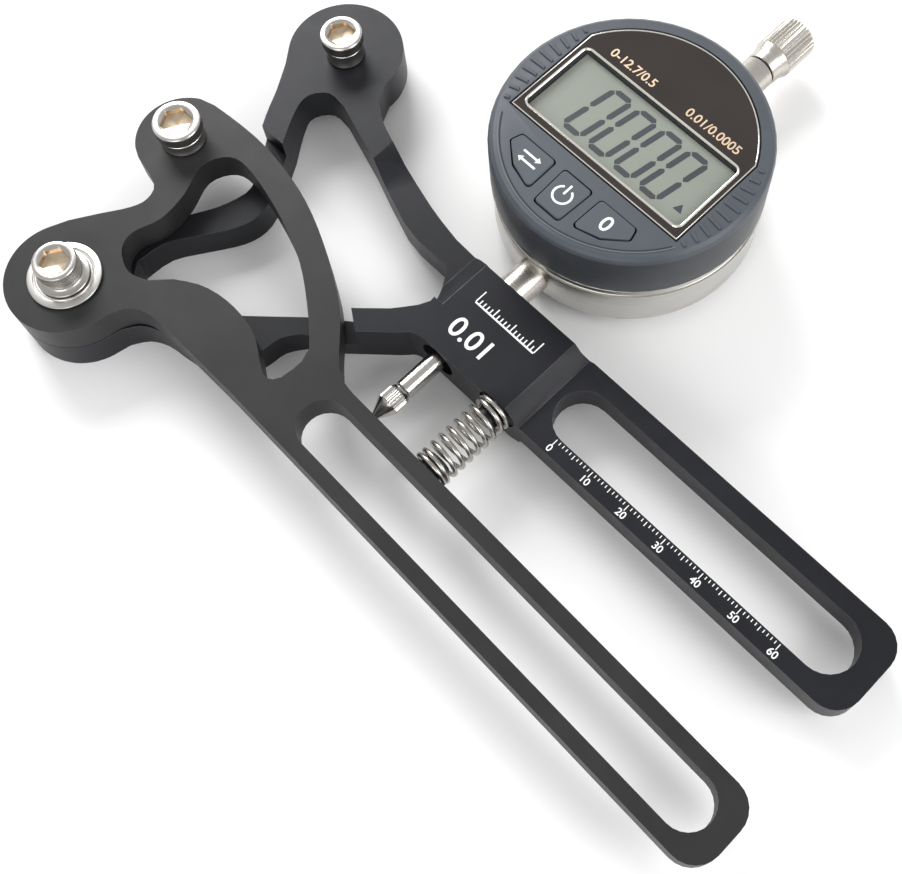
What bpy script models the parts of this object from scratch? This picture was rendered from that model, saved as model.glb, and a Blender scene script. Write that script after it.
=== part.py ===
"""Bicycle spoke tension meter with a digital indicator.

A fixed frame and a moving arm turn on one pivot screw.  The spoke is held by three posts.
A coil spring keeps the two handles apart, and the indicator's spindle rests on the moving arm.

Plan coordinates (u, v) are in millimetres.  u runs along the fixed handle and v runs along the
indicator's spindle.  The plan's zero is where the spindle's axis crosses the handle's centre line.
"""
import math

import bmesh
import bpy

MM = 0.001
GAP = 0.3

# Centres in plan
PIVOT = (-67.46, -54.49)
MIDDLE_POST = (-76.24, -15.03)
OUTER_LOBE = (-69.72, 26.63)
OUTER_POST = (-69.1, 26.05)
DIAL = (0.0, 46.7)
SPRING_U = 17.6

# Lobe radii
PIVOT_LOBE_R = 13.05
MIDDLE_LOBE_R = 10.65
OUTER_LOBE_R = 13.15

# Levels above the table
LAP_TOP = 7.7
ARM_BOTTOM = LAP_TOP + GAP
ARM_TOP = 15.3
PLATE_BOTTOM = 4.0
PLATE_TOP = 10.9
HEAD_TOP = 12.8
BLOCK_BOTTOM = 3.0
BLOCK_TOP = 14.4
SPINDLE_Z = 9.2
SPRING_Z = 11.65
SPRING_R = 3.9
SPRING_WIRE_R = 0.5
POCKET_R = 4.9
PEG_R = 2.65

# Handles
HANDLE_END_U = 108.7
FIXED_HALF_WIDTH = 10.65
FIXED_SLOT = (31.8, 97.0)
FIXED_SLOT_R = 6.5
MOVING_HALF_WIDTH = 8.91
MOVING_SLOT = (-3.67, 97.86)
MOVING_SLOT_R = 5.62
MOVING_AXIS_V = -39.02
MOVING_SLOPE = -0.0244
HANDLE_CORNER_R = 6.0

# Indicator
BEZEL_R = 30.0
CASE_R = 29.6
CASE_BOTTOM = 4.0
CASE_TOP = 17.4
BEZEL_TOP = 30.75
FACE_UNDER = 27.2
STEM_R = 4.0
SPINDLE_R = 2.2
CAP_TOP_V = 105.0
PANEL_R = 26.3
WINDOW_HALF_U = 21.5
WINDOW_V = (37.0, 55.6)
BATTERY_R = 10.0

# Fasteners
SCREW_HEAD_R = 4.7
MIDDLE_HEAD_R = 5.25
SCREW_SHANK_R = 2.4
HEX_R = 3.1

# The box is centred on the world's origin, and its lowest face is at zero
CENTRE_U = (MIDDLE_POST[0] - MIDDLE_LOBE_R + HANDLE_END_U) / 2
CENTRE_V = (PIVOT[1] - PIVOT_LOBE_R + CAP_TOP_V) / 2


# ---------------------------------------------------------------- outlines
def arc(centre, radius, start, end, steps):
    """Points on a circle from one angle to another, in degrees, both ends included."""
    points = []
    for i in range(steps + 1):
        angle = math.radians(start + (end - start) * i / steps)
        points.append((centre[0] + radius * math.cos(angle), centre[1] + radius * math.sin(angle)))
    return points


def circle(centre, radius, steps=32):
    return arc(centre, radius, 0.0, 360.0, steps)[:-1]


def bend(points, steps=4):
    """A smooth curve through the points, both ends included."""
    ends = [points[0]] + list(points) + [points[-1]]
    curve = []
    for i in range(1, len(ends) - 2):
        a, b, c, d = ends[i - 1:i + 3]
        for k in range(steps):
            t = k / steps
            curve.append(tuple(
                0.5 * (2 * b[n] + (c[n] - a[n]) * t
                       + (2 * a[n] - 5 * b[n] + 4 * c[n] - d[n]) * t * t
                       + (3 * b[n] - a[n] - 3 * c[n] + d[n]) * t ** 3)
                for n in range(2)))
    curve.append(points[-1])
    return curve


def slot_outline(start, end, radius, steps=12):
    """A slot with round ends, between two centres."""
    heading = math.degrees(math.atan2(end[1] - start[1], end[0] - start[0]))
    return (arc(end, radius, heading - 90, heading + 90, steps)
            + arc(start, radius, heading + 90, heading + 270, steps))


def rounded(corners, radius, steps=4):
    """A convex polygon, listed counter-clockwise, with every corner rounded."""
    points = []
    for i, corner in enumerate(corners):
        before = corners[i - 1]
        after = corners[(i + 1) % len(corners)]
        into = math.atan2(corner[1] - before[1], corner[0] - before[0])
        out = math.atan2(after[1] - corner[1], after[0] - corner[0])
        turn = (out - into) % (2 * math.pi)
        back = radius * math.tan(turn / 2)
        centre = (corner[0] - back * math.cos(into) - radius * math.sin(into),
                  corner[1] - back * math.sin(into) + radius * math.cos(into))
        first = math.degrees(into) - 90
        points += arc(centre, radius, first, first + math.degrees(turn), steps)
    return points


def moving_axis(u):
    """Centre line of the moving handle."""
    return (u, MOVING_AXIS_V + MOVING_SLOPE * u)


# ---------------------------------------------------------------- mesh tools
def material(name, colour, roughness, metallic):
    found = bpy.data.materials.get(name)
    if found:
        return found
    made = bpy.data.materials.new(name)
    made.use_nodes = True
    shader = made.node_tree.nodes["Principled BSDF"]
    shader.inputs["Base Color"].default_value = (*colour, 1.0)
    shader.inputs["Roughness"].default_value = roughness
    shader.inputs["Metallic"].default_value = metallic
    return made


FINISHES = {
    "black_anodised": ((0.022, 0.023, 0.026), 0.48, 0.6),
    "stainless": ((0.62, 0.60, 0.57), 0.26, 1.0),
    "satin_steel": ((0.55, 0.53, 0.50), 0.34, 1.0),
    "grey_plastic": ((0.075, 0.085, 0.105), 0.45, 0.0),
    "button_rubber": ((0.10, 0.115, 0.14), 0.55, 0.0),
    "gloss_panel": ((0.012, 0.011, 0.012), 0.08, 0.0),
    "clear_window": ((0.75, 0.78, 0.74), 0.05, 0.0),
    "lcd_grey": ((0.42, 0.45, 0.40), 0.35, 0.0),
    "board_green": ((0.02, 0.16, 0.06), 0.5, 0.0),
    "spring_steel": ((0.50, 0.49, 0.47), 0.25, 1.0),
    "brass": ((0.62, 0.45, 0.18), 0.3, 1.0),
}


def finish_mesh(name, bm, origin, finish):
    """Close a plan-space bmesh into an object whose origin is at a plan point."""
    bmesh.ops.recalc_face_normals(bm, faces=bm.faces)
    for vertex in bm.verts:
        vertex.co.x = (vertex.co.x - origin[0]) * MM
        vertex.co.y = (vertex.co.y - origin[1]) * MM
        vertex.co.z = (vertex.co.z - origin[2]) * MM
    mesh = bpy.data.meshes.new(name)
    bm.to_mesh(mesh)
    bm.free()
    mesh.shade_smooth()
    mesh.set_sharp_from_angle(angle=math.radians(35))
    made = bpy.data.objects.new(name, mesh)
    made.location = ((origin[0] - CENTRE_U) * MM, (origin[1] - CENTRE_V) * MM, origin[2] * MM)
    bpy.context.collection.objects.link(made)
    if finish:
        mesh.materials.append(material(finish, *FINISHES[finish]))
    return made


def prism(name, outline, bottom, top, finish, holes=(), origin=None):
    """A plate: an outline, less its holes, raised from one level to another."""
    bm = bmesh.new()
    edges = []
    for loop in [outline, *holes]:
        ring = [bm.verts.new((u, v, bottom)) for u, v in loop]
        edges += [bm.edges.new((ring[i - 1], ring[i])) for i in range(len(ring))]
    filled = bmesh.ops.triangle_fill(bm, use_beauty=True, use_dissolve=False, edges=edges)
    faces = [item for item in filled["geom"] if isinstance(item, bmesh.types.BMFace)]
    raised = bmesh.ops.extrude_face_region(bm, geom=faces, use_keep_orig=True)
    for item in raised["geom"]:
        if isinstance(item, bmesh.types.BMVert):
            item.co.z = top
    return finish_mesh(name, bm, origin or (*outline[0], bottom), finish)


def turned(name, profile, centre, finish, along_v=False, ring=False, steps=28, origin=None):
    """A turned piece from (radius, height) pairs.  ring=True closes the profile on itself."""
    bm = bmesh.new()
    rows = []
    for radius, height in profile:
        count = steps if radius > 0 else 1
        row = []
        for i in range(count):
            angle = 2 * math.pi * i / steps
            across = radius * math.cos(angle)
            other = radius * math.sin(angle)
            if along_v:
                row.append(bm.verts.new((centre[0] + across, height, centre[1] + other)))
            else:
                row.append(bm.verts.new((centre[0] + across, centre[1] + other, height)))
        rows.append(row)
    pairs = list(zip(rows, rows[1:])) + ([(rows[-1], rows[0])] if ring else [])
    for low, high in pairs:
        if len(low) == 1 and len(high) == 1:
            continue
        for i in range(steps):
            corners = [low[i % len(low)], low[(i + 1) % len(low)],
                       high[(i + 1) % len(high)], high[i % len(high)]]
            bm.faces.new(list(dict.fromkeys(corners)))
    if origin is None:
        middle = (profile[0][1] + profile[-1][1]) / 2
        origin = (centre[0], middle, centre[1]) if along_v else (*centre, profile[0][1])
    return finish_mesh(name, bm, origin, finish)


def rod(name, radius, centre, low, high, finish=None, along_v=False, steps=28, origin=None):
    profile = [(0, low), (radius, low), (radius, high), (0, high)]
    return turned(name, profile, centre, finish, along_v, steps=steps, origin=origin)


def tube(name, inner, outer, centre, low, high, finish, along_v=False, steps=28, origin=None):
    profile = [(inner, low), (outer, low), (outer, high), (inner, high)]
    return turned(name, profile, centre, finish, along_v, ring=True, steps=steps, origin=origin)


def side_prism(name, profile, start, end, across_u):
    """A cutter whose outline is seen from the side and which runs along v, or along u."""
    bm = bmesh.new()
    ends = []
    for place in (start, end):
        row = []
        for along, height in profile:
            spot = (place, along, height) if across_u else (along, place, height)
            row.append(bm.verts.new(spot))
        ends.append(row)
    bm.faces.new(ends[0])
    bm.faces.new(ends[1])
    for i in range(len(profile)):
        bm.faces.new((ends[0][i - 1], ends[0][i], ends[1][i], ends[1][i - 1]))
    return finish_mesh(name, bm, (0, 0, 0), None)


def combine(target, tool, operation="DIFFERENCE"):
    """Cut or join with a tool object that is not a piece itself."""
    tool.hide_render = True
    tool.display_type = "WIRE"
    step = target.modifiers.new(tool.name, "BOOLEAN")
    step.operation = operation
    step.object = tool
    step.solver = "EXACT"


def coil(name, centre_u, centre_z, low, high, radius, wire, turns, per_turn, sides, finish):
    """A round-wire coil spring along v.  sides counts the wire's corners."""
    count = int(turns * per_turn)
    curve = bpy.data.curves.new(name, "CURVE")
    curve.dimensions = "3D"
    curve.bevel_depth = wire * MM
    curve.bevel_resolution = sides // 2 - 2
    curve.use_fill_caps = True
    line = curve.splines.new("POLY")
    line.points.add(count)
    for i in range(count + 1):
        angle = 2 * math.pi * i / per_turn
        place = low + (high - low) * i / count
        line.points[i].co = (radius * math.cos(angle) * MM, (place - low) * MM,
                             radius * math.sin(angle) * MM, 1.0)
    made = bpy.data.objects.new(name, curve)
    made.location = ((centre_u - CENTRE_U) * MM, (low - CENTRE_V) * MM, centre_z * MM)
    curve.materials.append(material(finish, *FINISHES[finish]))
    bpy.context.collection.objects.link(made)


# ---------------------------------------------------------------- frame and arm
def fixed_frame():
    lobe = arc(PIVOT, PIVOT_LOBE_R, 160, 352, 36)
    lower_arm = bend([(-54.0, -53.6), (-51.6, -49.9), (-47.6, -47.7), (-41.9, -46.8), (-35.2, -45.0),
                      (-30.6, -41.2), (-28.8, -36.0), (-28.2, -31.0), (-25.6, -26.9)], 3)
    lower_arm += bend([(-18.0, -22.9), (-9.0, -14.6), (-6.4, -12.0), (-3.0, -11.2)], 3)
    block_low = [(21.0, -11.2), (24.5, -FIXED_HALF_WIDTH)]
    corner_low = (HANDLE_END_U - HANDLE_CORNER_R, HANDLE_CORNER_R - FIXED_HALF_WIDTH)
    corner_high = (HANDLE_END_U - HANDLE_CORNER_R, FIXED_HALF_WIDTH - HANDLE_CORNER_R)
    end = arc(corner_low, HANDLE_CORNER_R, -90, 0, 6) + arc(corner_high, HANDLE_CORNER_R, 0, 90, 6)
    block_high = [(24.5, FIXED_HALF_WIDTH), (21.5, 9.9), (-6.0, 9.9), (-9.5, 10.6)]
    leg = bend([(-17.1, 10.9), (-27.4, 12.8), (-44.6, 17.7), (-50.6, 20.1), (-54.6, 22.8)], 3)
    head = arc(OUTER_LOBE, OUTER_LOBE_R, 0, 218, 40)
    back = bend([(-76.9, 14.6), (-72.9, 8.4), (-70.8, 4.5), (-67.8, -0.4), (-63.6, -5.6), (-61.4, -9.5),
                 (-60.6, -12.7), (-61.6, -17.3), (-62.9, -20.6), (-65.2, -24.9), (-68.6, -31.6),
                 (-72.6, -38.6), (-78.0, -47.0)], 2)
    outline = lobe + lower_arm + block_low + end + block_high + leg + head + back

    window = bend([(-64.2, -40.5), (-63.6, -33.6), (-59.4, -26.5), (-55.3, -19.7), (-54.2, -14.0),
                   (-56.2, -8.0), (-61.8, 0.8), (-65.9, 8.2), (-66.7, 12.6), (-63.8, 16.2),
                   (-58.8, 16.1)], 3)
    window += bend([(-44.1, 11.5), (-27.9, 5.7), (-20.0, 4.9)], 2)
    window += bend([(-14.0, 4.9), (-11.4, 1.4), (-8.9, -4.2), (-13.6, -11.3)], 3)
    window += [(-19.1, -16.6), (-28.0, -23.7)]
    window += bend([(-37.5, -32.6), (-49.0, -41.5), (-56.5, -44.2), (-62.2, -43.2)], 3)

    slot = slot_outline((FIXED_SLOT[0], 0.0), (FIXED_SLOT[1], 0.0), FIXED_SLOT_R)
    screw_holes = [circle(PIVOT, SCREW_SHANK_R + GAP), circle(OUTER_POST, SCREW_SHANK_R + GAP)]
    frame = prism("fixed_frame", outline, 0.0, BLOCK_TOP, "black_anodised",
                  [window, slot, *screw_holes], origin=(*PIVOT, 0.0))

    clear = BLOCK_TOP + 1.0
    below = -1.0
    lap = [(-100, -80), (0, -80), (-8.3, -24.5), (-24.1, -14.0), (-45, 0.2), (-100, -0.6)]
    combine(frame, prism("cut_lap_top", lap, LAP_TOP, clear, None, origin=(0, 0, 0)))
    leg_top = [(-100, HEAD_TOP), (-44, HEAD_TOP), (-38.5, PLATE_TOP), (-11, PLATE_TOP),
               (-5.3, clear), (-100, clear)]
    combine(frame, side_prism("cut_leg_top", leg_top, -3.0, 60.0, False))
    handle_top = [(18.5, clear), (23.5, PLATE_TOP), (130, PLATE_TOP), (130, clear)]
    combine(frame, side_prism("cut_handle_top", handle_top, -30.0, 30.0, False))
    ramp = [(2.5, 0.0), (11.0, PLATE_BOTTOM), (60, PLATE_BOTTOM), (60, below), (0.4, below)]
    combine(frame, side_prism("cut_head_under", ramp, -100.0, -43.0, True))
    under = [(-18.0, -30.0), (130, -30.0), (130, 40), (-46, 40), (-46, 0), (-36.0, -12.0)]
    combine(frame, prism("cut_block_under", under, below, BLOCK_BOTTOM, None, origin=(0, 0, 0)))
    leg_under = [(-46.5, 2), (-12, 2), (-12, 40), (-46.5, 40)]
    combine(frame, prism("cut_leg_under", leg_under, below, PLATE_BOTTOM, None, origin=(0, 0, 0)))
    handle_under = [(23.5, -20), (130, -20), (130, 20), (23.5, 20)]
    combine(frame, prism("cut_handle_under", handle_under, below, PLATE_BOTTOM, None, origin=(0, 0, 0)))

    combine(frame, rod("cut_stem_bore", STEM_R + GAP, (0.0, SPINDLE_Z), -30, 30, along_v=True))
    combine(frame, rod("cut_block_pocket", POCKET_R, (SPRING_U, SPRING_Z), -20, -10.6, along_v=True))
    combine(frame, rod("add_block_peg", PEG_R, (SPRING_U, SPRING_Z), -14.4, -9.6, along_v=True), "UNION")
    combine(frame, rod("cut_grub_hole", 2.0 + GAP, (0.0, 3.0), below, SPINDLE_Z))


def moving_arm():
    lobe = arc(PIVOT, PIVOT_LOBE_R, 157, 354, 36)
    lower = bend([(-54.0, -53.2), (-52.2, -49.9), (-49.0, -48.0), (-44.0, -47.3)], 3)
    lower += [(-22.0, -47.3), (-2.5, -47.95)]
    last = HANDLE_END_U - 0.4
    tilt = math.degrees(math.atan(MOVING_SLOPE))
    inset = MOVING_HALF_WIDTH - HANDLE_CORNER_R
    corner = moving_axis(last - HANDLE_CORNER_R)
    low_corner = (corner[0], corner[1] - inset)
    high_corner = (corner[0], corner[1] + inset)
    end = arc(low_corner, HANDLE_CORNER_R, tilt - 90, tilt, 6)
    end += arc(high_corner, HANDLE_CORNER_R, tilt, tilt + 90, 6)
    strut = bend([(-4.5, -30.0), (-10.4, -28.4), (-20.4, -19.2), (-30.9, -12.9), (-41.7, -8.0),
                  (-51.1, -5.3), (-61.9, -3.85), (-70.2, -3.95), (-78.0, -4.7)], 3)
    middle = arc(MIDDLE_POST, MIDDLE_LOBE_R, 120, 237, 22)
    flank = bend([(-79.6, -25.1), (-72.0, -26.9), (-70.0, -30.4), (-71.0, -34.3), (-74.4, -39.8),
                  (-77.9, -45.6)], 3)
    outline = lobe + lower + end + strut + middle + flank

    window = bend([(-54.4, -42.8), (-59.0, -44.4), (-64.0, -42.2), (-65.8, -38.0), (-64.1, -31.6),
                   (-65.1, -24.3), (-68.0, -16.8), (-65.2, -11.0), (-58.6, -10.3), (-45.8, -13.3),
                   (-34.9, -17.6), (-24.8, -24.2), (-18.4, -29.5)], 4)
    window += bend([(-17.3, -32.6), (-17.6, -37.8), (-19.7, -40.1), (-22.9, -38.9), (-28.0, -35.8),
                    (-32.4, -34.6), (-36.8, -34.2), (-41.5, -34.6), (-46.2, -36.0), (-50.8, -38.9)], 2)
    slot = slot_outline(moving_axis(MOVING_SLOT[0]), moving_axis(MOVING_SLOT[1]), MOVING_SLOT_R)
    holes = [window, slot, circle(PIVOT, STEM_R + GAP), circle(MIDDLE_POST, SCREW_SHANK_R + GAP)]
    arm = prism("moving_arm", outline, ARM_BOTTOM, ARM_TOP, "black_anodised", holes,
                origin=(*PIVOT, ARM_BOTTOM))
    peg = rod("add_arm_peg", PEG_R, (SPRING_U, SPRING_Z), -31.6, -27.0, along_v=True)
    combine(arm, peg, "UNION")


# ---------------------------------------------------------------- posts and pivot
def socket_screw(name, centre, shank_bottom, head_bottom, head_top, head_r=SCREW_HEAD_R, origin=None):
    """A socket head cap screw with its head up."""
    edge = 0.4
    profile = [(0, shank_bottom), (SCREW_SHANK_R - 0.4, shank_bottom), (SCREW_SHANK_R, shank_bottom + 0.4),
               (SCREW_SHANK_R, head_bottom), (head_r - 0.2, head_bottom), (head_r, head_bottom + 0.2),
               (head_r, head_top - edge), (head_r - edge, head_top), (0, head_top)]
    screw = turned(name, profile, centre, "stainless", origin=origin)
    hexagon = circle(centre, HEX_R, 6)
    socket = prism("cut_" + name, hexagon, head_top - 2.0, head_top + 1, None, origin=(0, 0, 0))
    combine(screw, socket)


def post_sleeve(name, centre, rim, bottom, top, origin=None):
    """A sleeve with a shallow waist that the spoke bears on."""
    waist = rim - 0.2
    hole = SCREW_SHANK_R + GAP
    lip = 0.3
    profile = [(hole, bottom), (rim, bottom), (rim, bottom + lip), (waist, bottom + 2 * lip),
               (waist, top - 2 * lip), (rim, top - lip), (rim, top), (hole, top)]
    turned(name, profile, centre, "stainless", ring=True, origin=origin)


def posts():
    pivot = (*PIVOT, 0.0)
    post_sleeve("outer_post_sleeve", OUTER_POST, 4.35, HEAD_TOP + GAP, 17.0)
    socket_screw("outer_post_screw", OUTER_POST, PLATE_BOTTOM + 0.5, 17.3, 20.3)
    post_sleeve("middle_post_sleeve", MIDDLE_POST, 4.95, ARM_TOP + GAP, 18.7, origin=pivot)
    socket_screw("middle_post_screw", MIDDLE_POST, ARM_BOTTOM + 0.4, 19.0, 21.9, MIDDLE_HEAD_R, pivot)


def pivot_parts():
    hole = SCREW_SHANK_R + GAP
    tube("pivot_bushing", hole, STEM_R, PIVOT, LAP_TOP + GAP, 16.1, "brass")
    washer = [(STEM_R + GAP, 15.6), (7.9, 15.6), (7.9, 16.0), (7.7, 16.2), (STEM_R + GAP, 16.2)]
    turned("pivot_washer", washer, PIVOT, "satin_steel", ring=True, steps=32)
    collar = [(hole, 16.5), (5.6, 16.5), (5.6, 16.9), (5.1, 17.1), (4.2, 17.5), (4.2, 18.4),
              (4.4, 18.8), (hole, 18.8)]
    turned("pivot_collar", collar, PIVOT, "stainless", ring=True)
    socket_screw("pivot_screw", PIVOT, 0.5, 19.1, 22.4)


# ---------------------------------------------------------------- indicator
def dial_arc(radius, start, end, steps):
    return arc(DIAL, radius, start, end, steps)


def panel_outline(grow=0.0):
    """The gloss panel: square below, round above."""
    side = 23.4 + grow
    low = 34.6 - grow
    radius = PANEL_R + grow
    start = math.degrees(math.acos(side / radius))
    return [(-side, low), (side, low)] + dial_arc(radius, start, 180 - start, 24)


def window_outline(grow=0.0):
    half = WINDOW_HALF_U + grow
    low, high = WINDOW_V[0] - grow, WINDOW_V[1] + grow
    return rounded([(-half, low), (half, low), (half, high), (-half, high)], 1.0 + grow)


def button_outline(place, grow=0.0):
    """One of the three buttons: -1 left, 0 middle, 1 right."""
    if place == 0:
        corners = [(-3.4, 21.3), (3.4, 21.3), (3.9, 30.8), (-3.9, 30.8)]
    else:
        corners = [(6.3, 22.4), (12.3, 24.3), (16.8, 28.0), (16.0, 30.8), (6.5, 30.8)]
    if place < 0:
        corners = [(-u, v) for u, v in reversed(corners)]
    centre_u = sum(u for u, v in corners) / len(corners)
    centre_v = sum(v for u, v in corners) / len(corners)
    scaled = []
    for u, v in corners:
        distance = math.hypot(u - centre_u, v - centre_v)
        factor = 1 + grow * 1.3 / distance
        scaled.append((centre_u + (u - centre_u) * factor, centre_v + (v - centre_v) * factor))
    return rounded(scaled, 0.9)


def indicator_case():
    floor = CASE_BOTTOM + 1.6
    inner = 27.2
    profile = [(18.0, CASE_BOTTOM), (CASE_R - 0.8, CASE_BOTTOM), (CASE_R, CASE_BOTTOM + 0.8),
               (CASE_R, CASE_TOP - 0.3), (CASE_R - 0.3, CASE_TOP), (inner, CASE_TOP), (inner, floor),
               (18.0, floor)]
    case = turned("indicator_case", profile, DIAL, "satin_steel", ring=True, steps=54)
    combine(case, rod("cut_case_bores", STEM_R + GAP, (0.0, SPINDLE_Z), 10, 90, along_v=True))
    for i, spot in enumerate(screw_spots()):
        combine(case, rod(f"cut_case_screw_{i}", 1.3, spot, 0, 8, steps=12))


def screw_spots():
    return dial_arc(21.6, 45, 315, 3)


def back_parts():
    outer = 24.5
    low = 1.5
    shell = [(BATTERY_R + 1.8, 0.0), (outer - 0.6, 0.0), (outer, 0.6), (outer, CASE_BOTTOM - GAP),
             (17.0, CASE_BOTTOM - GAP), (17.0, low), (BATTERY_R + 1.8, low)]
    cover = turned("back_cover", shell, DIAL, "grey_plastic", ring=True, steps=32)
    for i, spot in enumerate(screw_spots()):
        combine(cover, rod(f"cut_cover_screw_{i}", 1.3, spot, -1, 8, steps=12))
        combine(cover, rod(f"cut_cover_head_{i}", 2.2, spot, -1, 1.6, steps=14))
        head = [(0, 0.4), (1.6, 0.4), (1.9, 0.7), (1.9, 1.3), (1.0, 1.3), (1.0, 6.8), (0, 6.8)]
        screw = turned(f"back_cover_screw_{i + 1}", head, spot, "stainless", steps=12)
        slot = [(spot[0] - 3, spot[1] - 0.25), (spot[0] + 3, spot[1] - 0.25),
                (spot[0] + 3, spot[1] + 0.25), (spot[0] - 3, spot[1] + 0.25)]
        combine(screw, prism(f"cut_driver_slot_{i}", slot, -1, 0.75, None, origin=(0, 0, 0)))
    plug = [(0, 0.2), (BATTERY_R + 1.1, 0.2), (BATTERY_R + 1.5, 0.6), (BATTERY_R + 1.5, 1.5), (0, 1.5)]
    lid = turned("battery_cover", plug, DIAL, "grey_plastic", steps=32)
    half = 0.8
    coin = [(-6, DIAL[1] - half), (6, DIAL[1] - half), (6, DIAL[1] + half), (-6, DIAL[1] + half)]
    combine(lid, prism("cut_coin_slot", coin, -1, 0.9, None, origin=(0, 0, 0)))
    cell = [(0, 1.8), (BATTERY_R - 1.2, 1.8), (BATTERY_R, 2.3), (BATTERY_R, 5.0), (0, 5.0)]
    turned("battery", cell, DIAL, "stainless", steps=32)


def indicator_bezel():
    lip_inner = 25.9
    wall_inner = 26.8
    profile = [(26.9, 15.6), (26.9, CASE_TOP + GAP), (BEZEL_R - 0.2, CASE_TOP + GAP),
               (BEZEL_R, CASE_TOP + 0.6), (BEZEL_R, BEZEL_TOP - 1.5), (BEZEL_R - 0.4, BEZEL_TOP - 0.6),
               (BEZEL_R - 1.2, BEZEL_TOP), (0, BEZEL_TOP), (0, FACE_UNDER), (wall_inner, FACE_UNDER),
               (wall_inner, 19.5), (lip_inner, 19.0), (lip_inner, 15.6)]
    bezel = turned("indicator_bezel", profile, DIAL, "grey_plastic", ring=True, steps=56)
    pocket = prism("cut_panel", panel_outline(GAP), BEZEL_TOP - 1.2, BEZEL_TOP + 1, None,
                   origin=(0, 0, 0))
    combine(bezel, pocket)
    opening = prism("cut_window", window_outline(GAP), 20, 40, None, origin=(0, 0, 0))
    combine(bezel, opening)
    for place in (-1, 0, 1):
        hole = prism(f"cut_button_{place}", button_outline(place, GAP), 20, 40, None, origin=(0, 0, 0))
        combine(bezel, hole)


def face_parts():
    panel_top = BEZEL_TOP - 0.1
    panel_low = BEZEL_TOP - 0.9
    prism("display_panel", panel_outline(), panel_low, panel_top, "gloss_panel", [window_outline(GAP)])
    prism("display_window", window_outline(), panel_low - 0.2, panel_top - 0.25, "clear_window")
    half = WINDOW_HALF_U - 0.2
    low, high = WINDOW_V[0] + 0.2, WINDOW_V[1] - 0.2
    glass = [(-half, low), (half, low), (half, high), (-half, high)]
    prism("lcd_module", glass, 25.0, 29.2, "lcd_grey")
    names = {-1: "inch_mm_button", 0: "on_off_button", 1: "zero_button"}
    for place, name in names.items():
        key = prism(name, button_outline(place), 26.0, BEZEL_TOP + 0.35, "button_rubber")
        flange = prism("add_" + name, button_outline(place, 0.55), 25.9, FACE_UNDER - GAP, None,
                       origin=(0, 0, 0))
        combine(key, flange, "UNION")
    board = prism("circuit_board", circle(DIAL, 25.0, 40), 22.6, 24.2, "board_green")
    for place in (-1, 0, 1):
        centre = (place * 11.0, 27.2)
        switch = rod(f"add_switch_{place}", 2.2, centre, 23.4, 25.0, steps=16)
        combine(board, switch, "UNION")


def spindle_parts():
    axis = (0.0, SPINDLE_Z)
    start = (0.0, 0.0, SPINDLE_Z)
    tube("indicator_stem", SPINDLE_R + GAP, STEM_R, axis, -8.5, 20.6, "satin_steel", along_v=True)
    sleeve = [(SPINDLE_R + GAP, 72.8), (STEM_R, 72.8), (STEM_R, 90.6), (STEM_R - 0.3, 90.9),
              (SPINDLE_R + GAP, 90.9)]
    turned("upper_sleeve", sleeve, axis, "satin_steel", along_v=True, ring=True)
    shaft = [(0, -21.2), (SPINDLE_R, -21.2), (SPINDLE_R, 90.9), (0, 90.9)]
    turned("spindle", shaft, axis, "stainless", along_v=True, origin=start)
    tip = [(0, -29.8), (0.5, -29.7), (0.8, -29.3), (2.5, -25.9), (2.6, -25.6), (2.6, -22.2),
           (2.3, -21.5), (0, -21.5)]
    turned("contact_tip", tip, axis, "stainless", along_v=True, origin=start)
    cap = [(0, 91.2), (3.9, 91.2), (4.1, 91.4), (4.1, 93.4), (4.9, 95.4), (4.9, 104.2), (4.2, CAP_TOP_V),
           (0, CAP_TOP_V)]
    turned("spindle_cap", cap, axis, "satin_steel", along_v=True, origin=start)
    tube("spindle_collar", SPINDLE_R + 0.3, 3.4, axis, 46.8, 47.8, "brass", along_v=True, steps=24,
         origin=start)
    strip = [(-3.0, 25.0), (3.0, 25.0), (3.0, 46.0), (-3.0, 46.0)]
    prism("measuring_scale", strip, 11.8, 12.6, "lcd_grey", origin=start)
    reader = rounded([(-9.0, 24.0), (9.0, 24.0), (9.0, 66.0), (-9.0, 66.0)], 1.0)
    prism("reader_board", reader, 13.0, 14.2, "board_green")
    grub = rod("stem_grub_screw", 2.0, (0.0, 3.0), BLOCK_BOTTOM + 0.1, 4.9, "stainless", steps=20)
    key = prism("cut_grub_key", circle((0.0, 3.0), 1.1, 6), 0, 4.2, None, origin=(0, 0, 0))
    combine(grub, key)


def springs():
    coil("handle_spring", SPRING_U, SPRING_Z, -29.7, -11.4, SPRING_R, SPRING_WIRE_R, 9, 12, 6,
         "spring_steel")
    coil("spindle_spring", 0.0, SPINDLE_Z, 48.3, 72.0, 3.0, 0.25, 8, 8, 4, "spring_steel")


for old in list(bpy.data.objects):
    bpy.data.objects.remove(old)
fixed_frame()
moving_arm()
posts()
pivot_parts()
indicator_case()
back_parts()
indicator_bezel()
face_parts()
spindle_parts()
springs()
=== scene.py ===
"""Looks for the spoke tension meter: refined solids, turned metal, printed marks, springs and light."""
import math

import bmesh
import bpy
from mathutils import Matrix, Vector


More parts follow.
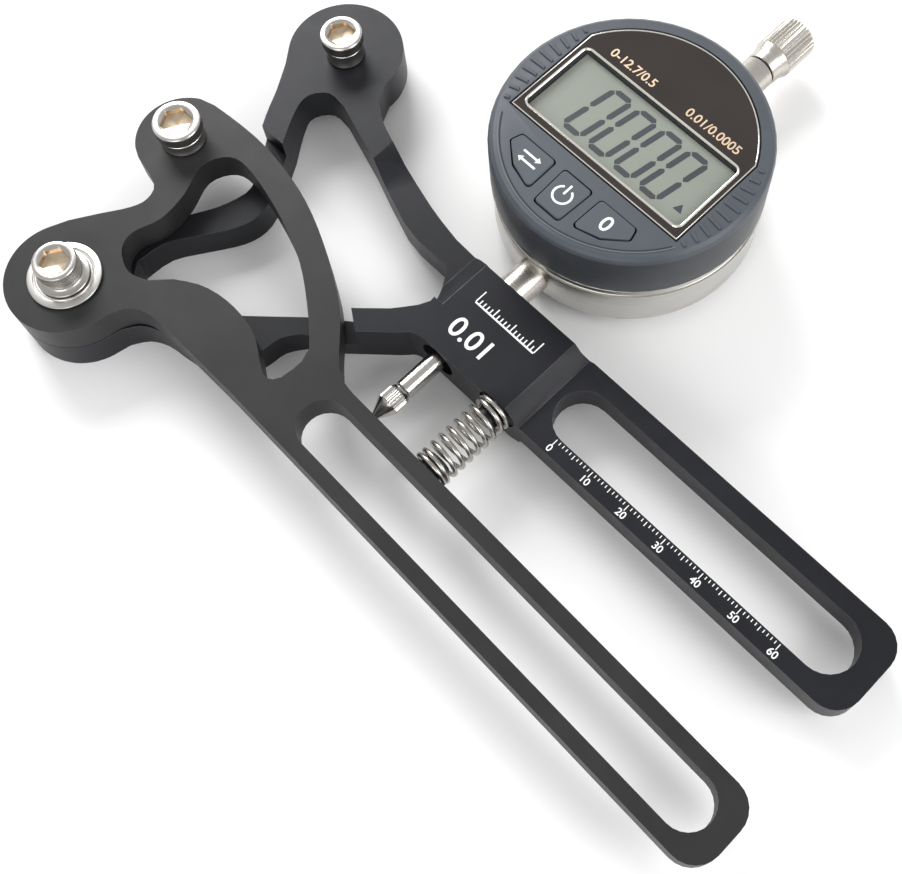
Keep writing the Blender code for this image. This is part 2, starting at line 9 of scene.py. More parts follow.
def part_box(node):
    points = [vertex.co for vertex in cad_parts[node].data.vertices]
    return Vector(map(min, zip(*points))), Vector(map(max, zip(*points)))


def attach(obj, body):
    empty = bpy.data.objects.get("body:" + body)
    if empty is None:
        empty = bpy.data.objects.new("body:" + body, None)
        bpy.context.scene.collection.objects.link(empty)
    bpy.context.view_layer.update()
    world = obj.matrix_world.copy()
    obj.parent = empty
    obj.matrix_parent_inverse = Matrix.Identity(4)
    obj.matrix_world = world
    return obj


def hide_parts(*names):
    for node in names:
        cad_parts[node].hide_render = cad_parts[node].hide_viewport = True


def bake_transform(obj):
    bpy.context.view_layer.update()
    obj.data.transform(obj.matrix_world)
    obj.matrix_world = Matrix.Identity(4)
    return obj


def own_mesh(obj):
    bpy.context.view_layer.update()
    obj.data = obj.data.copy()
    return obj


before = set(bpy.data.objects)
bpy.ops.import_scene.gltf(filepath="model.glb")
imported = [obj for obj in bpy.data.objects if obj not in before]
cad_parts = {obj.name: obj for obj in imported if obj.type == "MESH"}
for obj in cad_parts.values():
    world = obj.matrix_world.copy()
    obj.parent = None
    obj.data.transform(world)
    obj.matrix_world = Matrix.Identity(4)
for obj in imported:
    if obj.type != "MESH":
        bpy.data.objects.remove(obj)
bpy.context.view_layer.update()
MM = 0.001
ROOT = "fixed_frame"
WHITE = (0.85, 0.86, 0.86)

# Places that no node's box gives
HANDLE_Y = -18.73 * MM
RAIL_TOP = 10.9 * MM
BLOCK_TOP = 14.4 * MM
BEZEL_FACE = 30.75 * MM
CASE_JOINT = 15.2 * MM
PANEL_RADIUS = 26.3 * MM

# Screws and sleeves, in millimetres
SHANK_RADIUS = 2.4
BORE_RADIUS = 2.7

# Print stands this far above its surface, and the buttons are lowered to hold theirs inside the CAD box
PRINT_BOTTOM = 0.005 * MM
PRINT_TOP = 0.03 * MM
NUMBER_RISE = 0.018 * MM
FACE_NUMBER_RISE = 0.02 * MM
BUTTON_SINK = 0.06


# ---------------------------------------------------------------- places taken from the frame
def low(node):
    return Vector(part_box(node)[0])


def high(node):
    return Vector(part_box(node)[1])


def middle(node):
    return (low(node) + high(node)) / 2


# ---------------------------------------------------------------- materials
SMUDGE_SCALE = 240.0


def node_material(name, colour, roughness, metallic=0.0, **look):
    """A surface with mottled colour, uneven roughness and a fine bump.

    look: grain (bump cells per metre), bump, shade (dark-to-light spread), patch (colour cells per metre),
    streak (stretch along x, y, z), rough_spread, coat, alpha, specular.
    """
    made = bpy.data.materials.new(name)
    made.use_nodes = True
    tree = made.node_tree
    shader = tree.nodes["Principled BSDF"]
    shader.inputs["Metallic"].default_value = metallic
    shader.inputs["Coat Weight"].default_value = look.get("coat", 0.0)
    shader.inputs["Coat Roughness"].default_value = 0.06
    shader.inputs["Specular IOR Level"].default_value = look.get("specular", 0.5)
    shader.inputs["Alpha"].default_value = look.get("alpha", 1.0)

    place = tree.nodes.new("ShaderNodeTexCoord")
    stretch = tree.nodes.new("ShaderNodeMapping")
    stretch.inputs["Scale"].default_value = look.get("streak", (1.0, 1.0, 1.0))
    tree.links.new(place.outputs["Object"], stretch.inputs["Vector"])

    def noise(scale, detail):
        made_noise = tree.nodes.new("ShaderNodeTexNoise")
        made_noise.inputs["Scale"].default_value = scale
        made_noise.inputs["Detail"].default_value = detail
        tree.links.new(stretch.outputs["Vector"], made_noise.inputs["Vector"])
        return made_noise

    spread = look.get("shade", 0.12)
    tint = tree.nodes.new("ShaderNodeValToRGB")
    tint.color_ramp.elements[0].position = 0.3
    tint.color_ramp.elements[1].position = 0.7
    tint.color_ramp.elements[0].color = (*(c * (1 - spread) for c in colour), 1.0)
    tint.color_ramp.elements[1].color = (*(min(1.0, c * (1 + spread)) for c in colour), 1.0)
    tree.links.new(noise(look.get("patch", 90.0), 4.0).outputs["Fac"], tint.inputs["Fac"])
    tree.links.new(tint.outputs["Color"], shader.inputs["Base Color"])

    vary = tree.nodes.new("ShaderNodeMapRange")
    gap = look.get("rough_spread", 0.07)
    vary.inputs["To Min"].default_value = max(0.02, roughness - gap)
    vary.inputs["To Max"].default_value = roughness + gap
    tree.links.new(noise(SMUDGE_SCALE, 5.0).outputs["Fac"], vary.inputs["Value"])
    tree.links.new(vary.outputs["Result"], shader.inputs["Roughness"])

    bump = tree.nodes.new("ShaderNodeBump")
    bump.inputs["Strength"].default_value = look.get("bump", 0.25)
    bump.inputs["Distance"].default_value = 0.00004
    tree.links.new(noise(look.get("grain", 6000.0), 3.0).outputs["Fac"], bump.inputs["Height"])
    tree.links.new(bump.outputs["Normal"], shader.inputs["Normal"])
    return made


LOOKS = {
    "anodised": node_material("anodised black aluminium", (0.0125, 0.013, 0.0165), 0.40, 0.2,
                              grain=9000.0, bump=0.45, shade=0.18, specular=0.3, patch=60.0),
    "anodised_arm": node_material("anodised grey aluminium", (0.026, 0.026, 0.027), 0.46, 0.2,
                                  grain=9000.0, bump=0.6, shade=0.16, specular=0.32, patch=70.0),
    "socket_warm": node_material("socket in warm light", (0.62, 0.50, 0.36), 0.28, 1.0,
                                 grain=3000.0, bump=0.15, shade=0.2, patch=400.0),
    # Painted shade: a darker copy of the bezel plastic for its side walls
    "plastic_side_painted_shade": node_material("moulded side in painted shade", (0.034, 0.037, 0.043), 0.38,
                                  grain=5200.0, bump=0.5, shade=0.1, patch=140.0),
    # Lighter bevel finishes: partly edge wear, partly a painted highlight along the edges
    "anodised_edge_wear_and_highlight": node_material("anodised edge wear and painted highlight", (0.075, 0.077, 0.088), 0.33, 0.4,
                                   grain=9000.0, bump=0.3, shade=0.35, patch=500.0),
    "anodised_arm_edge_wear_and_highlight": node_material("grey edge wear and painted highlight", (0.085, 0.085, 0.085), 0.36, 0.4,
                                       grain=9000.0, bump=0.3, shade=0.35, patch=500.0),
    "stainless": node_material("turned stainless steel", (0.52, 0.50, 0.475), 0.28, 1.0,
                               grain=3000.0, bump=0.18, streak=(1, 1, 14), shade=0.06),
    "stainless_long": node_material("drawn stainless steel", (0.56, 0.54, 0.515), 0.2, 1.0,
                                    grain=3000.0, bump=0.16, streak=(1, 14, 1), shade=0.06),
    "satin": node_material("satin steel", (0.60, 0.585, 0.56), 0.31, 1.0,
                           grain=2600.0, bump=0.2, streak=(1, 1, 22), shade=0.05),
    "satin_long": node_material("satin steel tube", (0.60, 0.57, 0.52), 0.27, 1.0,
                                grain=2600.0, bump=0.2, streak=(1, 20, 1), shade=0.05),
    "plastic": node_material("blue-grey moulded plastic", (0.062, 0.072, 0.088), 0.42,
                             grain=5200.0, bump=0.55, shade=0.07, patch=140.0),
    # Painted highlight: a lighter copy of the bezel plastic for the groove's lip
    "plastic_painted_highlight": node_material("moulded edge in painted highlight", (0.11, 0.125, 0.15), 0.38,
                                   grain=5200.0, bump=0.4, shade=0.07, patch=140.0),
    "button": node_material("button rubber", (0.066, 0.077, 0.094), 0.47,
                            grain=7000.0, bump=0.5, shade=0.06),
    "panel": node_material("gloss panel", (0.028, 0.022, 0.019), 0.09, 0.0,
                           grain=900.0, bump=0.02, shade=0.1, rough_spread=0.03),
    "window": node_material("clear window", (0.25, 0.27, 0.25), 0.05, 0.0,
                            grain=500.0, bump=0.01, shade=0.02, alpha=0.05, rough_spread=0.02),
    "lcd": node_material("liquid crystal grey", (0.27, 0.29, 0.25), 0.4, 0.0,
                         grain=12000.0, bump=0.12, shade=0.035),
    "segment": node_material("liquid crystal segment", (0.026, 0.031, 0.042), 0.4, 0.0,
                             grain=9000.0, bump=0.1, shade=0.1),
    "trim": node_material("bright trim", (0.86, 0.83, 0.76), 0.18, 0.85,
                          grain=4000.0, bump=0.1, shade=0.05),
    "white_print": node_material("white print", WHITE, 0.5, 0.0,
                                 grain=14000.0, bump=0.3, shade=0.05),
    "gold_print": node_material("gold print", (0.80, 0.60, 0.42), 0.35, 0.5,
                                grain=14000.0, bump=0.2, shade=0.08),
    "spring": node_material("spring wire", (0.47, 0.45, 0.42), 0.24, 1.0,
                            grain=5000.0, bump=0.2, shade=0.12),
    "board": node_material("solder mask", (0.02, 0.16, 0.06), 0.42, 0.0,
                           grain=2500.0, bump=0.4, shade=0.2, coat=0.3),
    "brass": node_material("turned brass", (0.62, 0.45, 0.18), 0.27, 1.0,
                           grain=3000.0, bump=0.2, shade=0.08),
    "floor": node_material("studio floor", (0.96, 0.96, 0.96), 0.75, 0.0,
                           grain=400.0, bump=0.02, shade=0.005, specular=0.1),
    # Painted shade: a dark colour that stands for the shade inside a groove
    "gap_painted_shade": node_material("shaded gap", (0.012, 0.013, 0.016), 0.6, 0.0,
                              grain=5000.0, bump=0.2, shade=0.1),
}


# ---------------------------------------------------------------- mesh tools
def finish_piece(name, bm, look, angle=32.0):
    mesh = bpy.data.meshes.new(name)
    bmesh.ops.recalc_face_normals(bm, faces=bm.faces)
    bm.to_mesh(mesh)
    bm.free()
    mesh.shade_smooth()
    mesh.set_sharp_from_angle(angle=math.radians(angle))
    piece = bpy.data.objects.new(name, mesh)
    bpy.context.collection.objects.link(piece)
    mesh.materials.append(LOOKS[look])
    return piece


def bevelled(piece, width, wear_and_sheen=None):
    """Small rounded edges, in a lighter finish of edge wear and painted highlight where one is named."""
    step = piece.modifiers.new("edge", "BEVEL")
    step.width = width * MM
    step.segments = 2
    step.limit_method = "ANGLE"
    step.angle_limit = math.radians(28.0)
    if wear_and_sheen:
        piece.data.materials.append(LOOKS[wear_and_sheen])
        step.material = 1
    return piece


def refine(node, look, width, body=ROOT, wear_and_sheen=None, sink=0.0):
    """A node's own solid with flat faces joined, small rounded edges and smooth shading.

    sink lowers the faces at its top, in millimetres.
    """
    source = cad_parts[node]
    bm = bmesh.new()
    bm.from_mesh(source.data)
    bmesh.ops.transform(bm, matrix=source.matrix_world, verts=bm.verts)
    bmesh.ops.remove_doubles(bm, verts=bm.verts, dist=0.000002)
    top = high(node).z
    for vert in bm.verts:
        if vert.co.z > top - 0.01 * MM:
            vert.co.z -= sink * MM
    bmesh.ops.dissolve_limit(bm, angle_limit=math.radians(0.6), verts=bm.verts, edges=bm.edges)
    piece = finish_piece(node + "_body", bm, look)
    bevelled(piece, width, wear_and_sheen)
    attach(piece, body)
    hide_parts(node)
    return piece


def repaint(piece, look, chosen):
    """Another finish on the faces that a test picks out."""
    piece.data.materials.append(LOOKS[look])
    index = len(piece.data.materials) - 1
    for face in piece.data.polygons:
        if chosen(face):
            face.material_index = index


def row_radius(radius, style, angle):
    """Radius of one row at one angle: round, hexagonal or fluted."""
    if style == "hex":
        within = angle % (math.pi / 3) - math.pi / 6
        return radius * math.cos(math.pi / 6) / math.cos(within)
    if isinstance(style, tuple):
        count, depth = style
        return radius - depth * MM * (0.5 - 0.5 * math.cos(count * angle))
    return radius


def lathe(name, rows, centre, look, along_y=False, ring=False, steps=96, body=ROOT, node=None, angle=32.0):
    """A turned piece.  Each row is (radius, height) or (radius, height, style), in metres."""
    bm = bmesh.new()
    loops = []
    for radius, height, *style in rows:
        count = steps if radius > 0 else 1
        loop = []
        for i in range(count):
            turn = 2 * math.pi * i / steps
            reach = row_radius(radius, style[0] if style else None, turn)
            across, other = reach * math.cos(turn), reach * math.sin(turn)
            if along_y:
                loop.append(bm.verts.new((centre[0] + across, height, centre[1] + other)))
            else:
                loop.append(bm.verts.new((centre[0] + across, centre[1] + other, height)))
        loops.append(loop)
    for one, two in list(zip(loops, loops[1:])) + ([(loops[-1], loops[0])] if ring else []):
        if len(one) == 1 and len(two) == 1:
            continue
        for i in range(steps):
            corners = [one[i % len(one)], one[(i + 1) % len(one)],
                       two[(i + 1) % len(two)], two[i % len(two)]]
            bm.faces.new(list(dict.fromkeys(corners)))
    piece = finish_piece(name, bm, look, angle)
    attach(piece, body)
    if node:
        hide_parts(node)
    return piece


def shifted(rows, start, sign=1):
    """Rows given in millimetres from a start height, as metres."""
    return [(row[0] * MM, start + sign * row[1] * MM, *row[2:]) for row in rows]


def plates(name, outlines, bottom, top, look, body=ROOT, width=0.0):
    """Thin flat shapes of one kind, each outline raised from bottom to top."""
    bm = bmesh.new()
    for outline in outlines:
        ring = [bm.verts.new((x, y, bottom)) for x, y in outline]
        face = bm.faces.new(ring)
        raised = bmesh.ops.extrude_face_region(bm, geom=[face], use_keep_orig=True)
        for item in raised["geom"]:
            if isinstance(item, bmesh.types.BMVert):
                item.co.z = top
    piece = finish_piece(name, bm, look)
    if width:
        bevelled(piece, width)
    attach(piece, body)
    return piece


def tube(name, points, radius, look, closed=False, sides=10):
    """A round wire through the points, with flat ends when it is open."""
    places = [Vector(point) for point in points]
    count = len(places)
    bm = bmesh.new()
    loops = []
    normal = None
    for i, place in enumerate(places):
        before = places[i - 1] if i or closed else place
        after = places[(i + 1) % count] if i < count - 1 or closed else place
        tangent = (after - before).normalized()
        if normal is None:
            normal = tangent.orthogonal()
        normal = (normal - tangent * normal.dot(tangent)).normalized()
        side = tangent.cross(normal)
        loops.append([bm.verts.new(place + (normal * math.cos(2 * math.pi * k / sides)
                                            + side * math.sin(2 * math.pi * k / sides)) * radius)
                      for k in range(sides)])
    for one, two in list(zip(loops, loops[1:])) + ([(loops[-1], loops[0])] if closed else []):
        for k in range(sides):
            bm.faces.new((one[k], one[(k + 1) % sides], two[(k + 1) % sides], two[k]))
    if not closed:
        bm.faces.new(loops[0][::-1])
        bm.faces.new(loops[-1])
    return finish_piece(name, bm, look)


def trim_line(name, points, radius):
    """A closed bright line on the display's face."""
    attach(tube(name, points, radius, "trim", closed=True), ROOT)


def arc(centre, radius, start, end, steps):
    """Points of an arc, from one angle to another in degrees."""
    return [(centre[0] + radius * math.cos(math.radians(start + (end - start) * i / steps)),
             centre[1] + radius * math.sin(math.radians(start + (end - start) * i / steps)))
            for i in range(steps + 1)]


def rectangle(x0, y0, x1, y1):
    return [(x0, y0), (x1, y0), (x1, y1), (x0, y1)]


def rounded_rectangle(x0, y0, x1, y1, radius):
    corners = [(x1 - radius, y0 + radius), (x1 - radius, y1 - radius),
               (x0 + radius, y1 - radius), (x0 + radius, y0 + radius)]
    return [point for i, corner in enumerate(corners)
            for point in arc(corner, radius, 90 * i - 90, 90 * i, 6)]


def digits(name, text, place, size, look, body=ROOT):
    """Printed numbers, a hair above the surface that they lie on."""
    curve = bpy.data.curves.new(name, "FONT")
    curve.body = text
    curve.size = size * MM
    curve.extrude = 0.012 * MM
    curve.offset = 0.012 * MM * size
    curve.align_x = "CENTER"
    curve.align_y = "CENTER"
    curve.materials.append(LOOKS[look])
    piece = bpy.data.objects.new(name, curve)
    piece.location = place
    bpy.context.collection.objects.link(piece)
    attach(piece, body)
    return piece


# ---------------------------------------------------------------- plates, posts and pivot
def socket_screw(node, tall, body=ROOT):
    """Socket head cap screw: a chamfered head with a hexagonal socket and a plain shank."""
    head = (high(node).x - low(node).x) / 2 / MM
    ridge = (72, 0.06)
    key = 0.68 * head
    rows = [(0, 2.0), (0.3, 1.95), (key - 0.35, 1.85, "hex"), (key, 1.7, "hex"), (key, 0.3, "hex"),
            (key + 0.25, 0.04), (key + 0.35, 0.0), (head - 0.5, 0.0), (head - 0.22, 0.08),
            (head - 0.05, 0.3), (head, 0.55), (head, 0.7, ridge), (head, tall - 0.35, ridge),
            (head - 0.05, tall - 0.2), (head - 0.25, tall), (SHANK_RADIUS, tall)]
    bottom = low(node).z
    metres = shifted(rows, high(node).z, -1)
    metres += [(SHANK_RADIUS * MM, bottom + 0.3 * MM), ((SHANK_RADIUS - 0.3) * MM, bottom), (0, bottom)]
    piece = lathe(node + "_turned", metres, middle(node), "stainless", body=body, node=node, steps=144,
                  angle=26)
    centre, top = middle(node), high(node).z

    def in_socket(face):
        deep = top - 2.1 * MM < face.center.z < top - 0.2 * MM
        return deep and math.dist(face.center[:2], centre[:2]) < key * MM

    repaint(piece, "socket_warm", in_socket)


def post_sleeve(node, body=ROOT):
    """A sleeve with a shallow waist that the spoke bears on."""
    bottom, top = low(node).z, high(node).z
    rim = (high(node).x - low(node).x) / 2
    dip, hole, lip = 0.2 * MM, BORE_RADIUS * MM, 0.3 * MM
    rows = [(hole, bottom), (rim - 0.1 * MM, bottom), (rim, bottom + 0.1 * MM), (rim, bottom + lip)]
    for i in range(9):
        share = i / 8
        reach = rim - dip * math.sin(math.pi * share) ** 0.6
        rows.append((reach, bottom + lip + (top - bottom - 2 * lip) * share))
    rows += [(rim, top - lip), (rim, top - 0.1 * MM), (rim - 0.1 * MM, top), (hole, top)]
    lathe(node + "_turned", rows, middle(node), "satin", ring=True, body=body, node=node)


def pivot_pieces():
    washer = [(4.3, 0.0), (7.8, 0.0), (7.9, 0.08), (7.9, 0.42), (7.8, 0.55), (7.6, 0.6), (6.6, 0.6),
              (6.5, 0.48), (6.2, 0.45), (6.1, 0.5), (6.0, 0.6), (4.5, 0.6), (4.3, 0.5)]
    lathe("pivot_washer_turned", shifted(washer, low("pivot_washer").z), middle("pivot_washer"),
          "satin", ring=True, node="pivot_washer")
    collar = [(2.7, 0.0), (5.5, 0.0), (5.6, 0.08), (5.6, 0.3), (5.5, 0.42), (5.1, 0.5), (4.6, 0.66),
              (4.3, 0.86), (4.2, 1.05), (4.2, 1.4), (4.12, 1.45), (4.12, 1.6), (4.2, 1.65), (4.25, 2.0),
              (4.4, 2.15), (4.4, 2.3), (2.7, 2.3)]
    lathe("pivot_collar_turned", shifted(collar, low("pivot_collar").z), middle("pivot_collar"),
          "stainless", ring=True, node="pivot_collar")


def printed_marks():
    """A numbered millimetre scale on the handle's rail, and the resolution with a ruled line on the block."""
    axis_x = middle("spindle").x
    ticks = []
    for i in range(61):
        long = 1.5 if i % 10 == 0 else 1.1 if i % 5 == 0 else 0.7
        x, y, half = axis_x + (31.0 + i) * MM, HANDLE_Y - 6.9 * MM, 0.1 * MM
        ticks.append(rectangle(x - half, y - long * MM, x + half, y))
    plates("handle_scale_marks", ticks, RAIL_TOP + PRINT_BOTTOM, RAIL_TOP + PRINT_TOP, "white_print")
    for i in range(7):
        place = (axis_x + (31.0 + 10 * i) * MM, HANDLE_Y - 9.35 * MM, RAIL_TOP + NUMBER_RISE)
        digits(f"handle_scale_number_{i}", str(10 * i), place, 2.3, "white_print")
    place = (axis_x + 3.6 * MM, HANDLE_Y - 4.6 * MM, BLOCK_TOP + NUMBER_RISE)
    digits("block_number", "0.01", place, 6.6, "white_print")
    left, right, base = axis_x - 2.0 * MM, axis_x + 15.0 * MM, HANDLE_Y + 2.0 * MM
    bars = [rectangle(left, base, right, base + 0.4 * MM)]
    for i in range(18):
        x = left + i * MM
        long = 3.4 if i in (0, 17) else 2.4 if i % 5 == 0 else 1.5
        bars.append(rectangle(x - 0.14 * MM, base + 0.41 * MM, x + 0.14 * MM, base + long * MM))
    plates("block_measure_mark", bars, BLOCK_TOP + PRINT_BOTTOM, BLOCK_TOP + PRINT_TOP, "white_print")


# ---------------------------------------------------------------- indicator
def indicator_case():
    node = "indicator_case"
    radius = (high(node).x - low(node).x) / 2 / MM
    rows = [(18.0, 0.0), (radius - 1.0, 0.0), (radius - 0.5, 0.15), (radius - 0.15, 0.5), (radius, 1.0),
            (radius, 12.7), (radius - 0.12, 12.95), (radius - 0.55, 13.3), (radius - 0.8, 13.4), (27.2, 13.4),
            (27.2, 1.6), (18.0, 1.6)]
    lathe("indicator_case_turned", shifted(rows, low(node).z), middle(node), "satin", ring=True, steps=144,
          node=node)


def face_ribs():
    """Grip ribs on both sides of the panel, a dark band of painted groove shade below the buttons with a lip
    in a lighter painted highlight, and the case's polished edge.
    """
    centre = middle("indicator_bezel")
    deck = high("display_panel").z + 0.1 * MM
    ribs = []
    for side in (1, -1):
        for i in range(10):
            turn = math.radians(-25 + i * 5.6)
            inner, outer = 24.4, 28.2
            first = inner / math.cos(turn)
            along = Vector((math.cos(turn) * side, math.sin(turn)))
            across = Vector((-along.y, along.x)) * 0.42 * MM
            start = Vector(centre[:2]) + along * first * MM
            end = Vector(centre[:2]) + along * outer * MM
            if outer - first > 0.8:
                corners = [start - across, end - across, end + across, start + across]
                ribs.append([tuple(corner) for corner in corners][::side])
    plates("bezel_grip_ribs", ribs, deck - 0.1 * MM, deck + 0.3 * MM, "plastic", width=0.16)

    def band(name, inner, outer, first, last, bottom, top, look):
        inside = arc(centre, inner * MM, last, first, 60)
        plates(name, [arc(centre, outer * MM, first, last, 60) + inside], bottom, top, look)

    # A flat dark band of painted shade where the groove lies below the buttons
    band("bezel_groove", 27.25, 27.6, 213, 330, BEZEL_FACE + 0.005 * MM, BEZEL_FACE + 0.02 * MM, "gap_painted_shade")
    # The lip round the groove in the lighter plastic copy: painted highlight
    band("bezel_groove_lip", 27.65, 27.95, 212, 331, BEZEL_FACE - 0.05 * MM, BEZEL_FACE + 0.1 * MM,
         "plastic_painted_highlight")
    joint = [(29.55, 0.0), (29.9, 0.03), (29.97, 0.12), (29.97, 0.24), (29.55, 0.28)]
    lathe("case_polished_edge", shifted(joint, CASE_JOINT), centre, "trim", ring=True, steps=144)


def panel_line(inset):
    """The panel's outline: square below, round above."""
    centre = middle("indicator_bezel")
    box_low, box_high = low("display_panel"), high("display_panel")
    half = (box_high.x - box_low.x) / 2 - inset
    radius = PANEL_RADIUS - inset
    start = math.degrees(math.acos(half / radius))
    bottom = box_low.y + inset
    return ([(centre.x - half, bottom), (centre.x + half, bottom)]
            + arc(centre, radius, start, 180 - start, 60))


def panel_trims():
    """Bright lines round the panel and the window; the line round the panel is a painted highlight on its
    chamfer.
    """
    top = high("display_panel").z
    # Painted highlight: a bright line where the panel's chamfer catches light
    outline = [(x, y, top) for x, y in panel_line(0.25 * MM)]
    trim_line("panel_bright_edge", outline, 0.17 * MM)
    box_low, box_high = low("display_window"), high("display_window")
    out = 0.35 * MM
    frame_line = rounded_rectangle(box_low.x - out, box_low.y - out, box_high.x + out, box_high.y + out,
                                   1.6 * MM)
    trim_line("window_bright_frame", [(x, y, top) for x, y in frame_line], 0.3 * MM)


def segment(x, y, length, thick, upright, slant):
    """One bar of a digit with pointed ends, leaning with the digit."""
    half, nib = length / 2, thick / 2
    if upright:
        shape = [(-nib, -half + nib), (0, -half), (nib, -half + nib),
                 (nib, half - nib), (0, half), (-nib, half - nib)]
    else:
        shape = [(-half, 0), (-half + nib, -nib), (half - nib, -nib),
                 (half, 0), (half - nib, nib), (-half + nib, nib)]
    return [(x + px + slant * (y + py), y + py) for px, py in shape]


def lcd_digits():
    """Four zeros and a small unit mark on the liquid crystal."""
    box_low, box_high = low("lcd_module"), high("lcd_module")
    wide, tall = box_high.x - box_low.x, box_high.y - box_low.y
    high_digit = 0.74 * tall
    wide_digit = 4.7 * MM
    thick = 1.3 * MM
    slant = 0.16
    bars = []
    for i in range(4):
        left = 0.2 * wide + i * 7.2 * MM
        for upper in (0, 1):
            for side in (0, 1):
                bars.append(segment(left + side * wide_digit, high_digit * (0.25 + 0.5 * upper),
                                    high_digit / 2 - 0.35 * MM, thick, True, slant))
        for level in (0, 1):
            bars.append(segment(left + wide_digit / 2, high_digit * level, wide_digit - 0.35 * MM,
                                thick, False, slant))
    base = Vector((box_low.x, box_low.y + 0.12 * tall))
    bars = [[(base.x + x, base.y + y) for x, y in bar] for bar in bars]
    mark = box_low.x + 0.93 * wide
    bars.append([(mark - 1.1 * MM, base.y + 1.0 * MM), (mark + 1.1 * MM, base.y + 1.0 * MM),
                 (mark, base.y + 3.0 * MM)])
    plates("lcd_digit_segments", bars, box_high.z + 0.01 * MM, box_high.z + 0.05 * MM, "segment")


def button_icon_swap(node):
    """Two opposite arrows: change of unit."""
    centre = middle(node)
    top = high(node).z - BUTTON_SINK * MM
    shapes = []
    for sign in (1, -1):
        y = centre.y + 0.9 * MM * sign + 0.6 * MM
        x = centre.x + 0.9 * MM
        tail, tip, half = -2.4 * MM * sign, 2.4 * MM * sign, 0.26 * MM
        neck = tip - 1.1 * MM * sign
        shaft = [(x + tail, y - half), (x + neck, y - half), (x + neck, y + half), (x + tail, y + half)]
        shapes.append(shaft[::sign])
        shapes.append([(x + neck, y - 0.8 * MM), (x + tip, y), (x + neck, y + 0.8 * MM)][::sign])
    plates("unit_button_arrows", shapes, top + PRINT_BOTTOM, top + PRINT_TOP, "white_print", node)


def button_icon_power(node):
    """An open ring with a stroke: power."""
    centre = middle(node)
    top = high(node).z - BUTTON_SINK * MM
    outer = arc(centre, 2.3 * MM, -240, 60, 30)
    inner = arc(centre, 1.8 * MM, 60, -240, 30)
    shapes = []
    for i in range(30):
        shapes.append([outer[i], outer[i + 1], inner[29 - i], inner[30 - i]])
    x = centre.x
    shapes.append(rectangle(x - 0.25 * MM, centre.y + 0.3 * MM, x + 0.25 * MM, centre.y + 2.9 * MM))
    plates("power_button_ring", shapes, top + PRINT_BOTTOM, top + PRINT_TOP, "white_print", node)


def buttons():
    for node in ("inch_mm_button", "on_off_button", "zero_button"):
        refine(node, "button", 0.3, body=node, sink=BUTTON_SINK)
    button_icon_swap("inch_mm_button")
    button_icon_power("on_off_button")
    centre = middle("zero_button")
    top = high("zero_button").z - BUTTON_SINK * MM
    place = (centre.x - 0.6 * MM, centre.y + 0.5 * MM, top + FACE_NUMBER_RISE)
    digits("zero_button_digit", "0", place, 5.0, "white_print", body="zero_button")


def panel_numbers():
    place = middle("display_panel")
    top = high("display_panel").z + FACE_NUMBER_RISE
    line = high("display_window").y + 3.2 * MM
    digits("panel_range_number", "0-12.7/0.5", (place.x - 11.0 * MM, line, top), 3.1, "gold_print")
    digits("panel_step_number", "0.01/0.0005", (place.x + 11.5 * MM, line, top), 3.1, "gold_print")


def spindle_pieces():
    centre = (middle("spindle").x, middle("spindle").z)
    stem = low("indicator_stem").y
    tube_rows = [(2.5, 0.0), (3.7, 0.0), (4.0, 0.3), (4.0, 29.1), (2.5, 29.1)]
    lathe("indicator_stem_turned", shifted(tube_rows, stem), centre, "satin_long", along_y=True, ring=True,
          node="indicator_stem", steps=72)
    sleeve_long = (high("upper_sleeve").y - low("upper_sleeve").y) / MM
    sleeve = [(2.5, 0.0), (4.0, 0.0), (4.0, sleeve_long - 0.5), (3.85, sleeve_long - 0.12),
              (3.6, sleeve_long), (2.5, sleeve_long)]
    lathe("upper_sleeve_turned", shifted(sleeve, low("upper_sleeve").y), centre, "satin_long", along_y=True,
          ring=True, node="upper_sleeve", steps=72)
    shaft_long = (high("spindle").y - low("spindle").y) / MM
    shaft = [(0, 0.0), (1.9, 0.0), (2.2, 0.3), (2.2, shaft_long), (0, shaft_long)]
    lathe("spindle_shaft", shifted(shaft, low("spindle").y), centre, "stainless_long", along_y=True,
          body="spindle", node="spindle", steps=64)
    knurl = (26, 0.3)
    tip = [(0, 0.0), (0.3, 0.03), (0.55, 0.15), (0.75, 0.4), (0.95, 0.9), (2.3, 3.6), (2.5, 3.95), (2.6, 4.2),
           (2.6, 4.4, knurl), (2.6, 7.3, knurl), (2.6, 7.5), (2.45, 7.8), (2.25, 8.1), (2.2, 8.3), (0, 8.3)]
    lathe("contact_tip_turned", shifted(tip, low("contact_tip").y), centre, "stainless_long", along_y=True,
          body="spindle", node="contact_tip", steps=156, angle=24)
    cap_long = (high("spindle_cap").y - low("spindle_cap").y) / MM
    flute = (30, 0.35)
    cap = [(0, 0.0), (3.8, 0.0), (4.02, 0.12), (4.1, 0.4), (4.1, 2.2), (4.3, 2.8), (4.75, 3.9), (4.9, 4.3),
           (4.9, 4.6, flute), (4.9, cap_long - 0.9, flute), (4.75, cap_long - 0.55), (4.5, cap_long - 0.22),
           (4.1, cap_long - 0.05), (3.8, cap_long), (0, cap_long)]
    lathe("spindle_cap_turned", shifted(cap, low("spindle_cap").y), centre, "satin_long", along_y=True,
          body="spindle", node="spindle_cap", steps=180, angle=24)


